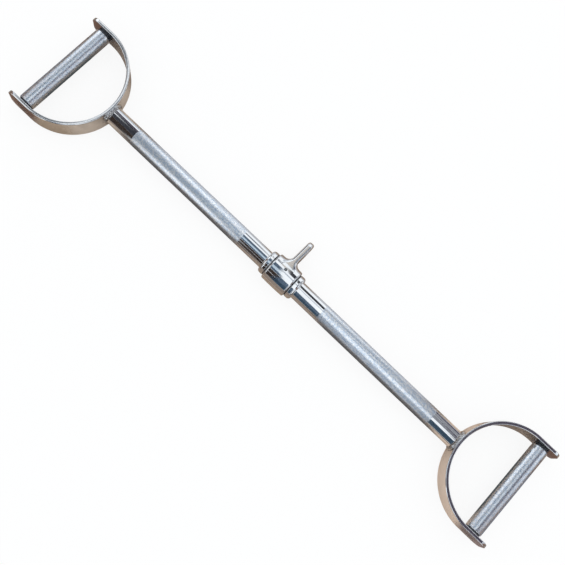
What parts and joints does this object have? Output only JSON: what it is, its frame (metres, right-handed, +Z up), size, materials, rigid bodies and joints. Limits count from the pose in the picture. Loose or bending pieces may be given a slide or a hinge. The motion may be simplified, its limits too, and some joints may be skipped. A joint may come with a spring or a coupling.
{
  "type": "lat pulldown bar",
  "caption": "Straight chrome cable bar with knurled bands, a revolving hanger with an eye at its middle and a D-shaped stirrup with a turning grip at each end.",
  "frame": {"origin": "on the floor under the middle of the bar, where the hanger's barrel rests", "axes": "+X along the bar, +Y across it in the plane of the stirrups, towards the hanger's tab at rest, +Z up"},
  "size_m": [0.914, 0.168, 0.0445],
  "materials": {
    "bar_chrome": "bright chrome plate, diamond knurl in two bands",
    "grip_chrome": "bright chrome plate over a diamond knurl",
    "strap_chrome": "bright chrome plate on bent flat steel",
    "weld_chrome": "chrome plate over a rippled weld bead",
    "hanger_chrome": "polished chrome plate on a casting",
    "collar_chrome": "bright chrome plate",
    "axle_steel": "plated steel rod, ground flush at its ends",
    "screw_steel": "black oxide",
    "black_nylon": "black moulded nylon"
  },
  "bodies": {
    "frame": {"main_bar": "bar_chrome", "strap_left": "strap_chrome", "weld_left": "weld_chrome", "stop_collar_left": "collar_chrome", "collar_screw_left": "screw_steel", "grip_axle_left": "axle_steel", "strap_right": "strap_chrome", "weld_right": "weld_chrome", "stop_collar_right": "collar_chrome", "collar_screw_right": "screw_steel", "grip_axle_right": "axle_steel"},
    "hanger": {"hanger_body": "hanger_chrome", "hanger_bush_left": "black_nylon", "hanger_bush_right": "black_nylon"},
    "left_grip": {"grip_sleeve_left": "grip_chrome", "grip_bush_left_front": "black_nylon", "grip_bush_left_back": "black_nylon"},
    "right_grip": {"grip_sleeve_right": "grip_chrome", "grip_bush_right_front": "black_nylon", "grip_bush_right_back": "black_nylon"}
  },
  "joints": [
    {"name": "hanger_swivel", "type": "hinge", "parent": "frame", "child": "hanger", "pos_m": [0, 0, 0.02223], "axis": [1, 0, 0], "continuous": true},
    {"name": "left_grip_spin", "type": "hinge", "parent": "frame", "child": "left_grip", "pos_m": [-0.4325, 0, 0.02223], "axis": [0, 1, 0], "continuous": true},
    {"name": "right_grip_spin", "type": "hinge", "parent": "frame", "child": "right_grip", "pos_m": [0.4325, 0, 0.02223], "axis": [0, 1, 0], "continuous": true}
  ]
}
